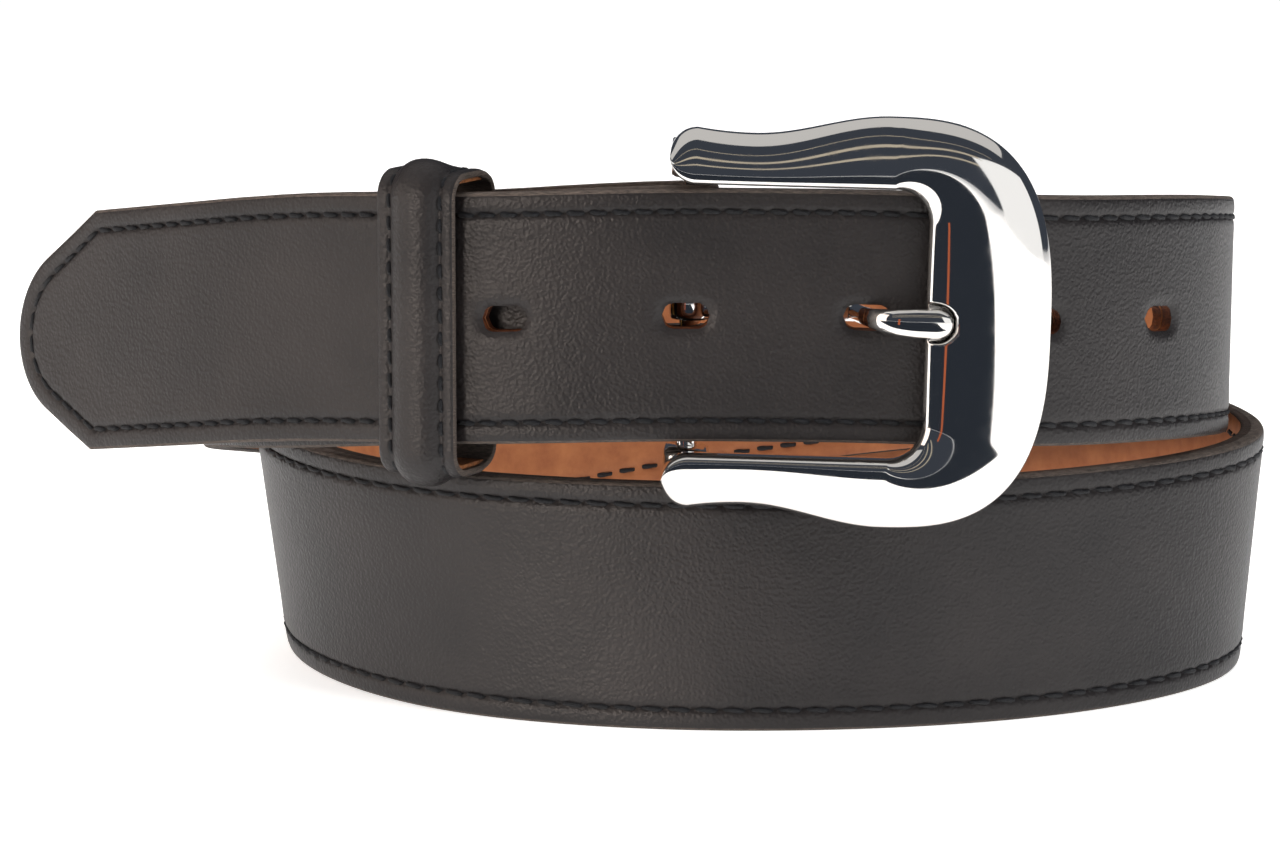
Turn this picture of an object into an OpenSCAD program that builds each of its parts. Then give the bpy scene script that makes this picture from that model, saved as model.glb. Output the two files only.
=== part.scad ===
// Stitched leather dress belt, buckled on its middle hole and coiled in two turns.
// +X right, +Y away from the front, +Z up; the bottom edge of the lower turn lies on z = 0
// and the origin is at the middle of the coil's footprint.

/* [Strap] */

// Width of the strap (mm)
strap_w = 35; // [28:1:42]
// Thickness of the grain leather (mm)
outer_t = 2; // [1.6:0.1:2.4]
// Thickness of the lining leather (mm)
lining_t = 1.6; // [1.2:0.1:2]
// Strap length from the fold at the bar to the middle hole (mm)
loop_len = 850; // [800:5:900]
// Strap length from the middle hole to the tip (mm)
tail_len = 142; // [130:1:160]
// Radius of the rounded nose of the tip (mm)
nose_r = 13; // [9:0.5:15]
// Length over which the tip narrows (mm)
nose_len = 17; // [14:0.5:20]

/* [Holes] */

// Number of holes
hole_n = 5; // [3:1:5]
// Spacing of the holes (mm)
hole_pitch = 25; // [20:1:26]
// Length of one oblong hole (mm)
hole_len = 6.6; // [6:0.1:8]
// Height of one oblong hole (mm)
hole_h = 3.6; // [3.4:0.1:4.2]

/* [Coil] */

// Gap between the tip strap and the buckle end behind it (mm)
layer_gap = 0.6; // [0.5:0.1:1.2]
// Gap in height between the lower turn and the upper turn at the buckle (mm)
turn_gap = 7; // [6:0.5:12]

/* [Stitching] */

// Distance of the stitch row from the strap edge (mm)
stitch_inset = 3; // [2:0.25:4]
// Width of the thread (mm)
thread_w = 0.8; // [0.5:0.1:1]
// Height of the thread above the leather (mm)
thread_t = 0.2; // [0.1:0.05:0.25]

/* [Buckle] */

// Gap between each arm and the strap's edge (mm)
window_gap = 1.2; // [1:0.1:3]
// Distance from the bar to the inner edge of the bow (mm)
window_l = 32.4; // [30:0.2:36]
// Width of the bow at its middle (mm)
bow_w = 17.2; // [12:0.2:20]
// Thickness of the frame at the crown of the dome (mm)
frame_t = 4.6; // [3.6:0.1:5.4]
// Radius of the bar (mm)
bar_r = 1.5; // [1.2:0.1:2]
// How far the buckle hangs turned in its fold (degrees)
buckle_tilt = 1.7; // [0:0.1:1.8]

/* [Prong] */

// Distance from the bar to the tip of the prong (mm)
prong_len = 35.9; // [35:0.1:39]
// Thickness of the prong (mm)
prong_t = 2.2; // [1.8:0.1:2.4]
// Width of the prong's blade in front of the strap (mm)
blade_w = 4.3; // [3.6:0.1:4.6]

/* [Keeper] */

// Width of the keeper loop (mm)
keeper_w = 12; // [10:0.5:14]
// Distance of the keeper's middle from the bar along the strap (mm)
keeper_at = 35.3; // [34:0.1:40]
// Thickness of the keeper's leather (mm)
keeper_t = 1.1; // [1:0.1:1.5]
// Thickness of the keeper's suede lining (mm)
keeper_lining_t = 0.6; // [0.5:0.1:1]
// Height of the padding under the keeper's front (mm)
pad_t = 1.4; // [0.8:0.1:2]

/* [Press studs] */

// Distance of the first press stud from the bar along the strap (mm)
snap_a = 15; // [15:0.5:20]
// Distance of the second press stud from the bar along the strap (mm)
snap_b = 55; // [53:0.5:58]
// Radius of the press stud's cap (mm)
cap_r = 5.5; // [4.5:0.1:6]

/* [Hidden] */

$fn = 48;
eps = 0.01;

leather_black = [0.13, 0.13, 0.13];
suede_tan = [0.66, 0.41, 0.24];
thread_black = [0.05, 0.05, 0.05];
metal = [0.8, 0.8, 0.82];
pad_white = [0.9, 0.88, 0.82];

strap_t = outer_t + lining_t;
half_t = strap_t / 2;
half_w = strap_w / 2;
stack = strap_t + layer_gap;

// Glue line between the two layers
glue = 0.05;

// Middle of each layer, seen from the middle of the strap
outer_mid = half_t - outer_t / 2;
lining_solid = lining_t - glue;
lining_mid = -half_t + lining_solid / 2;

// Distance from bar to the middle hole, where the prong goes through
pin_reach = 24.4;
front_s = tail_len - pin_reach;
bar_s = tail_len + loop_len;

// Strap length that the heights, leans and shifts below are drawn for
plan_len = 992;

// Plan of the coil: [length of strap, angle it turns], from the tip to the bar
nose_straight = tail_len - 112;
side_slack = (loop_len - 850) / 2;
bends = [
    [nose_straight, 0], [45, 15], [35, 30], [38, 0], [22, 40], [22, 15],
    [42, 36], [56 + side_slack, 48], [55, 42], [55, 46], [60, 58], [55, 49],
    [35, 24], [40, 28], [30, 25], [30, 38], [25, 22], [55, 42],
    [60 + side_slack, 43], [55, 41], [55, 46], [28, 33], [21.6, 13], [35, 31],
    [15, 0]];
start_heading = -45;
ease_len = 8;

// Height of the bottom edge along the strap: [distance from the tip, height]
hu = strap_w + turn_gap;
rises = [
    [0, hu - 11], [60, hu - 2.5], [110, hu], [150, hu - 0.4], [200, hu - 4.4], [234, hu - 8.4],
    [345, hu - 25.5], [450, 1.5], [500, 0], [690, 0], [730, 2.5], [790, hu - 29.5], [845, hu - 18.8],
    [900, hu - 9], [950, hu - 2.8], [985, hu], [1010, hu]];

// Outward lean of the top edge along the strap: [distance from the tip, degrees]
leans = [[0, -3], [45, -3], [80, 0], [200, 0], [345, 4], [430, 8], [480, 7], [535, 0],
    [590, 0], [640, 5.5], [690, 5], [790, 4], [900, 4], [940, 0], [1000, 0]];

// Sideways moves that keep the two turns clear of each other: [distance from the tip, x, y]
shifts = [
    [0, 0, 0], [195, 0, 0], [240, 0.8, -1], [290, 0, -4], [345, 0, -4], [460, 0, -4],
    [570, 0, -2], [640, 1.8, -4], [700, 2, -3], [790, 0, -1], [845, 0, 0], [900, 1.5, 0],
    [925, 0.8, 1], [945, 0.6, 1.3], [972, 0, 0], [1000, 0, 0]];
shift_x = [for (r = shifts) [r[0], r[1]]];
shift_y = [for (r = shifts) [r[0], r[2]]];

function mean5(t, s, w) = (lookup(s - w, t) + lookup(s - w / 2, t) + lookup(s, t)
    + lookup(s + w / 2, t) + lookup(s + w, t)) / 5;
function smooth01(t) = t <= 0 ? 0 : t >= 1 ? 1 : t * t * (3 - 2 * t);

knots = [for (i = 0, s = 0, h = start_heading; i <= len(bends);
    s = s + bends[min(i, len(bends) - 1)][0],
    h = h + bends[min(i, len(bends) - 1)][1], i = i + 1) [s, h]];
function heading(s) = mean5(knots, s, ease_len);

// Walk along the strap in steps of one millimetre
walk_n = ceil(bar_s) + 2;
walk = [for (i = 0, p = [0, 0]; i <= walk_n;
    p = p + [cos(heading(i + 0.5)), sin(heading(i + 0.5))], i = i + 1) p];
function walk_at(s) = let (i = max(0, min(walk_n - 1, floor(s))), f = s - i)
    walk[i] * (1 - f) + walk[i + 1] * f;

// The buckle end is brought exactly behind the front strap at the bar;
// the small difference is spread over the turns between
closing = [0, stack] - (walk_at(bar_s) - walk_at(front_s));
function on_loop(s) = s * plan_len / bar_s;
function plan(s) = walk_at(s) - walk_at(front_s)
    + closing * smooth01((s - 200) / (bar_s - 290))
    + [mean5(shift_x, on_loop(s), 20), mean5(shift_y, on_loop(s), 20)];
function flow(s) = plan(s + 0.5) - plan(s - 0.5);
function lean(s) = mean5(leans, on_loop(s), 12);
function rise(s) = mean5(rises, on_loop(s), 12);
function height(s) = rise(s) + half_w * cos(lean(s)) + half_t * abs(sin(lean(s)));

// Directions of the strap at s: along, up its face, out of its face
function along(s) = [flow(s)[0], flow(s)[1], 0] / norm(flow(s));
function out0(s) = [along(s)[1], -along(s)[0], 0];
function up(s) = out0(s) * sin(lean(s)) + [0, 0, cos(lean(s))];
function out(s) = out0(s) * cos(lean(s)) - [0, 0, sin(lean(s))];
function mid(s) = [plan(s)[0], plan(s)[1], height(s)];
// Point on the strap: distance s from the tip, w up from the middle, n out of the middle
function spot(s, w, n) = mid(s) + up(s) * w + out(s) * n;

front_z = height(bar_s);

module at_strap(s, n) {
    a = along(s);
    u = up(s);
    o = out(s);
    p = spot(s, 0, n);
    multmatrix([[a[0], -u[0], -o[0], p[0]], [a[1], -u[1], -o[1], p[1]],
        [a[2], -u[2], -o[2], p[2]], [0, 0, 0, 1]])
        rotate([180, 0, 0])
            children();
}

// Everything is drawn from the buckle's bar at x = 0 and the front strap at y = 0,
// then moved so that the origin is at the middle of the footprint
frame_gap = 0.6;
frame_back = -(half_t + frame_gap);
rim = [for (s = [0 : 2 : bar_s], k = [-1, 1], n = [-half_t, half_t])
    spot(s, s < nose_len ? 0 : k * half_w, n)];
home_x = -(min([for (p = rim) p[0]]) + max([for (p = rim) p[0]])) / 2;
home_y = -(frame_back - frame_t + max([for (p = rim) p[1]])) / 2;
module home() {
    translate([home_x, home_y, 0])
        children();
}

// Closed sweep through sections of four corners each
module ribbon(sections) {
    m = len(sections);
    polyhedron(
        points = [for (q = sections) each q],
        faces = concat(
            [[0, 1, 2], [0, 2, 3]],
            [for (i = [0 : m - 2], k = [0 : 2]) each [
                [4 * i + k, 4 * i + 4 + k, 4 * i + 5 + k],
                [4 * i + k, 4 * i + 5 + k, 4 * i + k + 1]]],
            [for (i = [0 : m - 2]) each [
                [4 * i + 3, 4 * i + 7, 4 * i], [4 * i + 7, 4 * i + 4, 4 * i]]],
            [[4 * m - 4, 4 * m - 2, 4 * m - 3], [4 * m - 4, 4 * m - 1, 4 * m - 2]]),
        convexity = 10);
}

// Angle left over where the rounded nose runs into the tapering shoulders
nose_b = acos(min(1, nose_r / norm([nose_len - nose_r, half_w])))
    - atan((nose_len - nose_r) / half_w);

// Outline of one half of the tip, as [s, w] from the nose to the shoulder
nose_arc = [for (k = [1 : 8])
    let (a = (90 - nose_b) * k / 8)
    [nose_r - nose_r * cos(a), nose_r * sin(a)]];
station_step = 4;
body_n = ceil((bar_s - nose_len) / station_step);
body_stations = [for (k = [0 : body_n]) nose_len + (bar_s - nose_len) * k / body_n];

function strap_section(s, hw, n, t) = [
    spot(s, hw, n + t / 2), spot(s, hw, n - t / 2),
    spot(s, -hw, n - t / 2), spot(s, -hw, n + t / 2)];

// Fold round the bar and the flap that comes back behind the strap
fold_play = 0.6;
fold_in = bar_r + fold_play;
bar_y = stack - outer_mid + outer_t / 2 + fold_in;
fold_mid = fold_in + outer_t / 2;
flap_n = -(bar_y - stack) - fold_mid;
flap_len = 66;
flap_taper = 8;
function fold_point(a, w, n) = [(fold_mid + n) * sin(a),
    bar_y - (fold_mid + n) * cos(a), front_z + w];
function fold_section(a) = [
    fold_point(a, half_w, outer_t / 2), fold_point(a, half_w, -outer_t / 2),
    fold_point(a, -half_w, -outer_t / 2), fold_point(a, -half_w, outer_t / 2)];
function flap_section(d) = let (s = bar_s - d,
        hw = half_w - max(0, d - flap_len + flap_taper) * 0.6) [
    spot(s, hw, flap_n - outer_t / 2), spot(s, hw, flap_n + outer_t / 2),
    spot(s, -hw, flap_n + outer_t / 2), spot(s, -hw, flap_n - outer_t / 2)];

// Slot through the fold for the prong, and where the lining ends before the fold
slot_h = 6.8;
slot_len = 15;
slot_x = -1.5;
lining_end = bar_s - 14;

module oblong(len, h, depth) {
    linear_extrude(depth, center = true)
        union() {
            square([len - h, h], center = true);
            for (k = [-1, 1])
                translate([k * (len - h) / 2, 0])
                    circle(d = h);
        }
}

module hole_cutters() {
    for (k = [0 : hole_n - 1])
        at_strap(tail_len + (k - floor(hole_n / 2)) * hole_pitch, 0)
            oblong(hole_len, hole_h, strap_t + 2);
}

// Press stud heights, measured out of the strap's middle
seat = 0.3;
post_r = 1.2;
plate_r = 4;
plate_t = 0.4;
stud_r = 4.4;
stud_floor_t = 0.8;
knob_r = 2;
knob_play = 0.1;
flap_face = flap_n + outer_t / 2;
flap_back = flap_n - outer_t / 2;
stud_top = -half_t + seat;
knob_end = flap_face + 0.6;
cap_post_r = 1.6;
cap_t = 1.3;
snaps = [snap_a, snap_b];

module plate_space(play) {
    translate([0, 0, half_t - plate_t])
        cylinder(r = plate_r, h = plate_t + play);
}
module snap_spots() {
    for (d = snaps)
        at_strap(bar_s - d, 0)
            children();
}

module strap_outer() {
    color(leather_black) home()
        difference() {
            ribbon(concat(
                [for (p = nose_arc) strap_section(p[0], p[1], outer_mid, outer_t)],
                [for (s = body_stations) strap_section(s, half_w, outer_mid, outer_t)],
                [for (a = [15 : 15 : 165]) fold_section(a)],
                [for (d = [0 : 3 : flap_len]) flap_section(d)]));
            hole_cutters();
            translate([slot_x, bar_y, front_z])
                cube([slot_len, 2 * fold_mid + 2 * outer_t, slot_h], center = true);
            snap_spots() {
                plate_space(1);
                translate([0, 0, -half_t])
                    cylinder(r = post_r, h = strap_t);
                translate([0, 0, flap_back - 1])
                    cylinder(r = cap_post_r, h = outer_t + 2);
            }
        }
}

module strap_lining() {
    color(suede_tan) home()
        difference() {
            ribbon(concat(
                [for (p = nose_arc) strap_section(p[0], p[1], lining_mid, lining_solid)],
                [for (s = body_stations) if (s < lining_end - 1)
                    strap_section(s, half_w, lining_mid, lining_solid)],
                [strap_section(lining_end, half_w, lining_mid, lining_solid)]));
            hole_cutters();
            snap_spots() {
                translate([0, 0, -half_t - 1])
                    cylinder(r = post_r, h = strap_t + 1);
                translate([0, 0, -half_t - 1])
                    cylinder(r = stud_r, h = 1 + seat);
            }
        }
}

// Stitch row round the tip and along both edges, on the face at height n
row_stop = 20;
function row_section(p, d, n0, n1) = [
    spot(p[0] + d[0], p[1] + d[1], n1), spot(p[0] + d[0], p[1] + d[1], n0),
    spot(p[0] - d[0], p[1] - d[1], n0), spot(p[0] - d[0], p[1] - d[1], n1)];
row_half = half_w - stitch_inset;
row_body = [for (s = body_stations) if (s < bar_s - row_stop) s];
row_r = nose_r - stitch_inset;
row_arc_n = 12;
module stitch_row(n0, n1) {
    w2 = thread_w / 2;
    last = len(row_body) - 1;
    ribbon(concat(
        [for (k = [last : -1 : 0]) row_section([row_body[k], row_half], [0, w2], n0, n1)],
        [for (k = [0 : row_arc_n])
            let (a = (90 - nose_b) * (1 - 2 * k / row_arc_n))
            row_section([nose_r - row_r * cos(a), row_r * sin(a)],
                [-w2 * cos(a), w2 * sin(a)], n0, n1)],
        [for (k = [0 : last]) row_section([row_body[k], -row_half], [0, -w2], n0, n1)]));
}

thread_lift = 0.1;
module strap_stitching() {
    color(thread_black) home()
        stitch_row(half_t + thread_lift, half_t + thread_lift + thread_t);
}

module lining_stitching() {
    color(thread_black) home()
        stitch_row(-half_t - thread_lift - thread_t, -half_t - thread_lift);
}

// Horseshoe frame: domed section swept from arm end to arm end
window_h = strap_w + 2 * window_gap;
window_r = 4.8;
rim_t = 1.4;
arm_start = 0.4;
bow_x = window_l + bow_w;
bow_half = window_h / 2 + 9.8;
arm_half = window_h / 2 + 7;
waist_x = 8;
crest_x = window_l - 5.4;
bow_power = 2.8;
function outer_top(x) = x < waist_x
    ? arm_half + 0.6 * pow((waist_x - x) / (waist_x - arm_start), 2)
    : arm_half + (bow_half - arm_half) * (1 - cos(180 * (x - waist_x) / (crest_x - waist_x))) / 2;
function outer_bow(a) = [crest_x + (bow_x - crest_x) * pow(sin(a), 2 / bow_power),
    bow_half * pow(cos(a), 2 / bow_power)];
arm_n = 9;
turn_n = 12;
inner_knee = window_l - window_r;
arm_r = (outer_top(arm_start) - window_h / 2) / 2;
// Pairs of [inner point, outer point] on the upper half, [x, z] from the bar's middle
upper_pairs = concat(
    [for (a = [15, 35, 55, 75]) let (x = arm_start - arm_r * cos(a), z = window_h / 2 + arm_r)
        [[x, z - arm_r * sin(a)], [x, z + arm_r * sin(a)]]],
    [for (k = [0 : arm_n - 1]) let (t = k / arm_n,
            xi = arm_start + (inner_knee - arm_start) * t,
            xo = arm_start + (crest_x - arm_start) * t)
        [[xi, window_h / 2], [xo, outer_top(xo)]]],
    [for (k = [0 : turn_n]) let (t = k / turn_n,
            b = min(1, t * 1.5) * 90, drop = max(0, t * 1.5 - 1) * 2)
        [[inner_knee + window_r * sin(b),
            t < 2 / 3 ? window_h / 2 - window_r * (1 - cos(b))
                : (window_h / 2 - window_r) * (1 - drop)],
         outer_bow(90 * t)]]);
frame_pairs = concat(upper_pairs,
    [for (k = [len(upper_pairs) - 2 : -1 : 0])
        [for (p = upper_pairs[k]) [p[0], -p[1]]]]);
dome_n = 8;
// On the arms the crown of the dome lies nearer the window
arm_lop = 0.4;
function lop(pair) = arm_lop
    + (1 - arm_lop) * max(0, min(1, (pair[1][0] - crest_x) / (bow_x - crest_x)));
function dome(u) = rim_t + (frame_t - rim_t) * sqrt(max(0, 1 - pow(2 * u - 1, 2)));
function frame_ring(pair) = concat(
    [for (k = [0 : dome_n])
        let (v = k / dome_n, u = pow(v, 1 / lop(pair)), q = pair[0] * (1 - u) + pair[1] * u)
        [q[0], frame_back - dome(v), q[1]]],
    [for (u = [1, 0]) let (q = pair[0] * (1 - u) + pair[1] * u) [q[0], frame_back, q[1]]]);
module frame_sweep() {
    rings = [for (p = frame_pairs) frame_ring(p)];
    m = len(rings);
    c = len(rings[0]);
    polyhedron(
        points = [for (r = rings) each [for (k = [c - 1 : -1 : 0]) r[k]]],
        faces = concat(
            [for (k = [1 : c - 2]) [0, k, k + 1]],
            [for (i = [0 : m - 2], k = [0 : c - 1]) each [
                [c * i + k, c * i + c + k, c * i + c + (k + 1) % c],
                [c * i + k, c * i + c + (k + 1) % c, c * i + (k + 1) % c]]],
            [for (k = [1 : c - 2]) [c * (m - 1), c * (m - 1) + k + 1, c * (m - 1) + k]]),
        convexity = 6);
}

lug_r = 3.4;
lug_neck = 6;
lug_in = window_h / 2 + 0.2;
lug_out = arm_half - 2.2;
bar_end = arm_half - 3;
blade_y = frame_back - frame_t + prong_t / 2 + 0.1;
seat_gap = 0.3;
module lug() {
    translate([0, bar_y, lug_in])
        cylinder(r = lug_r, h = lug_out - lug_in);
    translate([-lug_neck / 2, frame_back - rim_t / 2, lug_in])
        cube([lug_neck, bar_y - frame_back + rim_t / 2, lug_out - lug_in]);
}

// The buckle hangs slightly turned; the prong has slid up its bar to stay in the hole
prong_up = pin_reach * sin(buckle_tilt) + height(tail_len) - front_z;
module in_buckle() {
    translate([0, 0, front_z])
        rotate([0, buckle_tilt, 0])
            children();
}

module buckle_frame() {
    color(metal) home()
        in_buckle()
            difference() {
                union() {
                    frame_sweep();
                    lug();
                    mirror([0, 0, 1])
                        lug();
                }
                // seat that the prong's tip lies in
                translate([window_l, blade_y + prong_t / 2 + seat_gap, prong_up])
                    rotate([90, 0, 0])
                        linear_extrude(frame_t)
                            union() {
                                translate([prong_len - window_l - blade_w / 2, 0])
                                    circle(d = blade_w + 2 * seat_gap);
                                translate([-5, -blade_w / 2 - seat_gap])
                                    square([prong_len - window_l - blade_w / 2 + 5,
                                        blade_w + 2 * seat_gap]);
                            }
                // sockets for the bar
                translate([0, bar_y, -bar_end])
                    cylinder(r = bar_r, h = 2 * bar_end);
            }
}

module buckle_bar() {
    color(metal) home()
        in_buckle()
            translate([0, bar_y, -bar_end])
                cylinder(r = bar_r, h = 2 * bar_end);
}

// Prong: eye round the bar, shank behind the strap, step through the hole, blade
eye_play = 0.05;
eye_t = 1.4;
shank_w = 2.8;
shank_y = bar_y - 1.6;
step_x = pin_reach - 0.2;
step_run = 2.8;
shank_line = [[2.2, shank_y], [step_x - step_run / 2 - 2, shank_y - 0.3],
    [step_x - step_run / 2, half_t + 2.3], [step_x + step_run / 2, -half_t - 1.8],
    [step_x + step_run / 2 + 1.6, blade_y], [prong_len - blade_w / 2, blade_y]];
function unit(v) = v / norm(v);
function side_of(l, i) = let (
        a = i == 0 ? unit(l[1] - l[0]) : unit(l[i] - l[i - 1]),
        b = i == len(l) - 1 ? a : unit(l[i + 1] - l[i]),
        m = unit(a + b), k = 1 / max(0.5, m * a)) [-m[1], m[0]] * k;
shank_outline = concat(
    [for (i = [0 : len(shank_line) - 1]) shank_line[i] + side_of(shank_line, i) * prong_t / 2],
    [for (i = [len(shank_line) - 1 : -1 : 0])
        shank_line[i] - side_of(shank_line, i) * prong_t / 2]);
module prong() {
    color(metal) home()
        in_buckle() translate([0, 0, prong_up])
            difference() {
                union() {
                    linear_extrude(shank_w, center = true)
                        polygon(shank_outline);
                    translate([0, bar_y, 0])
                        cylinder(r = bar_r + eye_play + eye_t, h = shank_w + 1, center = true);
                    translate([step_x + step_run / 2 + 1.6, blade_y + prong_t / 2, 0])
                        rotate([90, 0, 0])
                            linear_extrude(prong_t)
                                union() {
                                    translate([0, -blade_w / 2])
                                        square([prong_len - blade_w / 2 - step_x
                                            - step_run / 2 - 1.6, blade_w]);
                                    translate([prong_len - blade_w / 2 - step_x
                                            - step_run / 2 - 1.6, 0])
                                        circle(d = blade_w);
                                }
                }
                translate([0, bar_y, 0])
                    cylinder(r = bar_r + eye_play, h = shank_w + 4, center = true);
            }
}

// Keeper, drawn in the strap's own directions: X along, Y up, Z out of the strap
keeper_s = bar_s - keeper_at;
keeper_play_front = 1.45;
keeper_play_rear = 1.05;
keeper_front = stack + half_t + keeper_play_front;
keeper_rear = -half_t - keeper_play_rear;
keeper_back_t = 1.2;
keeper_in_h = strap_w + 4.4;
keeper_lift = 0.2;
keeper_corner = 2.2;
module rounded(w, h, r) {
    square([w - 2 * r, h], center = true);
    square([w, h - 2 * r], center = true);
    for (i = [-1, 1], k = [-1, 1])
        translate([i * (w / 2 - r), k * (h / 2 - r)])
            circle(r = r);
}
// Loop outline grown by g on the front and sides and by b at the back
module loop_outline(g, b) {
    translate([(keeper_front + g + keeper_rear - b) / 2, keeper_lift])
        rounded(keeper_front + g - keeper_rear + b, keeper_in_h + 2 * g, keeper_corner + g);
}
module along_strap(w) {
    rotate([0, -90, 0])
        linear_extrude(w, center = true)
            children();
}
lining_from = -0.6;
module lining_outline() {
    difference() {
        loop_outline(keeper_lining_t, 0);
        translate([keeper_rear - 20 + (lining_from - keeper_rear), -50])
            square([20, 100]);
        loop_outline(0, 0);
    }
}
pad_half = 3.1;
pad_rad = (pad_half * pad_half + pad_t * pad_t) / (2 * pad_t);
pad_base = keeper_front + keeper_lining_t;
pad_axis = pad_base + pad_t - pad_rad;
pad_len = strap_w - 1;
module pad_shape(grow, more) {
    intersection() {
        translate([0, keeper_lift, pad_axis])
            rotate([90, 0, 0])
                cylinder(r = pad_rad + grow, h = pad_len + more, center = true);
        translate([-10, -50, pad_base])
            cube([20, 100, 20]);
    }
}
staple_r = 0.3;
staple_half = 3;
module staples() {
    for (k = [-1, 1])
        translate([0, keeper_lift + k * 5, keeper_rear - keeper_back_t + staple_r]) {
            rotate([0, 90, 0])
                cylinder(r = staple_r, h = 2 * staple_half, center = true);
            for (i = [-1, 1])
                translate([i * (staple_half - staple_r), 0, 0])
                    cylinder(r = staple_r, h = keeper_back_t - staple_r);
        }
}

module keeper_outer() {
    color(leather_black) home()
        at_strap(keeper_s, 0)
            difference() {
                union() {
                    along_strap(keeper_w)
                        loop_outline(keeper_lining_t + keeper_t, keeper_back_t);
                    pad_shape(keeper_t, 2 * keeper_t);
                }
                along_strap(keeper_w + 2)
                    union() {
                        loop_outline(0, 0);
                        lining_outline();
                    }
                pad_shape(0, 0);
                staples();
            }
}

module keeper_lining() {
    color(suede_tan) home()
        at_strap(keeper_s, 0)
            along_strap(keeper_w)
                lining_outline();
}

module keeper_padding() {
    color(pad_white) home()
        at_strap(keeper_s, 0)
            pad_shape(0, 0);
}

// The stitches run just beside the foot of the padded dome
dome_foot = sqrt(pow(pad_rad + keeper_t, 2) - pow(pad_rad - pad_t + keeper_t, 2));
stitch_play = 0.04;
keeper_stitch_x = dome_foot + thread_w / 2 + stitch_play;
keeper_stitch_n = 11;
keeper_stitch_pitch = 3;
module keeper_stitching() {
    color(thread_black) home()
        at_strap(keeper_s, 0)
            for (i = [-1, 1], k = [0 : keeper_stitch_n - 1])
                translate([i * keeper_stitch_x,
                    keeper_lift + (k - (keeper_stitch_n - 1) / 2) * keeper_stitch_pitch,
                    pad_base + keeper_t + thread_t / 2])
                    cube([thread_w, keeper_stitch_pitch * 0.75, thread_t], center = true);
}

module keeper_staples() {
    color(metal) home()
        at_strap(keeper_s, 0)
            staples();
}

module snap_posts() {
    color(metal) home()
        snap_spots() {
            plate_space(0);
            translate([0, 0, knob_end])
                cylinder(r = post_r, h = half_t - plate_t - knob_end + eps);
        }
}

module snap_studs() {
    color(metal) home()
        snap_spots()
            difference() {
                union() {
                    translate([0, 0, stud_top - stud_floor_t])
                        cylinder(r = stud_r, h = stud_floor_t);
                    translate([0, 0, knob_end])
                        cylinder(r = knob_r, h = stud_top - knob_end);
                }
                translate([0, 0, knob_end - 1])
                    cylinder(r = post_r, h = stud_top - knob_end + 2);
            }
}

module snap_sockets() {
    color(metal) home()
        snap_spots()
            difference() {
                translate([0, 0, flap_face + 0.1])
                    cylinder(r = stud_r - 0.4, h = stud_top - stud_floor_t - 0.2 - flap_face - 0.1);
                translate([0, 0, flap_face + 0.4])
                    cylinder(r = knob_r + knob_play, h = 10);
                translate([0, 0, flap_face - 1])
                    cylinder(r = cap_post_r, h = 3);
            }
}

cap_round = (cap_r * cap_r + cap_t * cap_t) / (2 * cap_t);
cap_arc = asin(cap_r / cap_round);
cap_gap = 0.4;
cap_post_len = outer_t + cap_gap + 0.2;
module snap_caps() {
    color(metal) home()
        snap_spots()
            translate([0, 0, flap_back - cap_gap])
                rotate_extrude()
                    polygon(concat(
                        [for (k = [0 : 8]) [cap_round * sin(cap_arc * k / 8),
                            cap_round - cap_t - cap_round * cos(cap_arc * k / 8)]],
                        [[cap_post_r, 0], [cap_post_r, cap_post_len], [0, cap_post_len]]));
}

strap_outer();
strap_lining();
strap_stitching();
lining_stitching();
buckle_frame();
buckle_bar();
prong();
keeper_outer();
keeper_lining();
keeper_padding();
keeper_stitching();
keeper_staples();
snap_posts();
snap_studs();
snap_sockets();
snap_caps();
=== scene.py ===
import math

import bmesh
import bpy
import numpy as np
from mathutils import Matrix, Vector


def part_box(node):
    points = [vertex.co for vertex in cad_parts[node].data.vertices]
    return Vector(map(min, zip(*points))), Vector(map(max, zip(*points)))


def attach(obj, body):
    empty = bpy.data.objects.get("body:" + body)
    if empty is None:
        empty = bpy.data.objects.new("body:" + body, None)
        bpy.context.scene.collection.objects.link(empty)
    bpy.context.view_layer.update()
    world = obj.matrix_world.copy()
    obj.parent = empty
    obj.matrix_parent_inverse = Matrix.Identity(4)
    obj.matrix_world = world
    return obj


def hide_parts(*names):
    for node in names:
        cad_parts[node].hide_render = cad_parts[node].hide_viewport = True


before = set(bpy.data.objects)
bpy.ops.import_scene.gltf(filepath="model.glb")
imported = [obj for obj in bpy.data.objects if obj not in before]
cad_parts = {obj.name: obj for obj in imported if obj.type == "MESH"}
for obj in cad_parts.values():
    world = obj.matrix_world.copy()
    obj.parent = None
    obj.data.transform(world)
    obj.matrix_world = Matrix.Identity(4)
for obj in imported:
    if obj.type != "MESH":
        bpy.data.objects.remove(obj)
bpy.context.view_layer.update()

MM = 0.001

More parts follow.
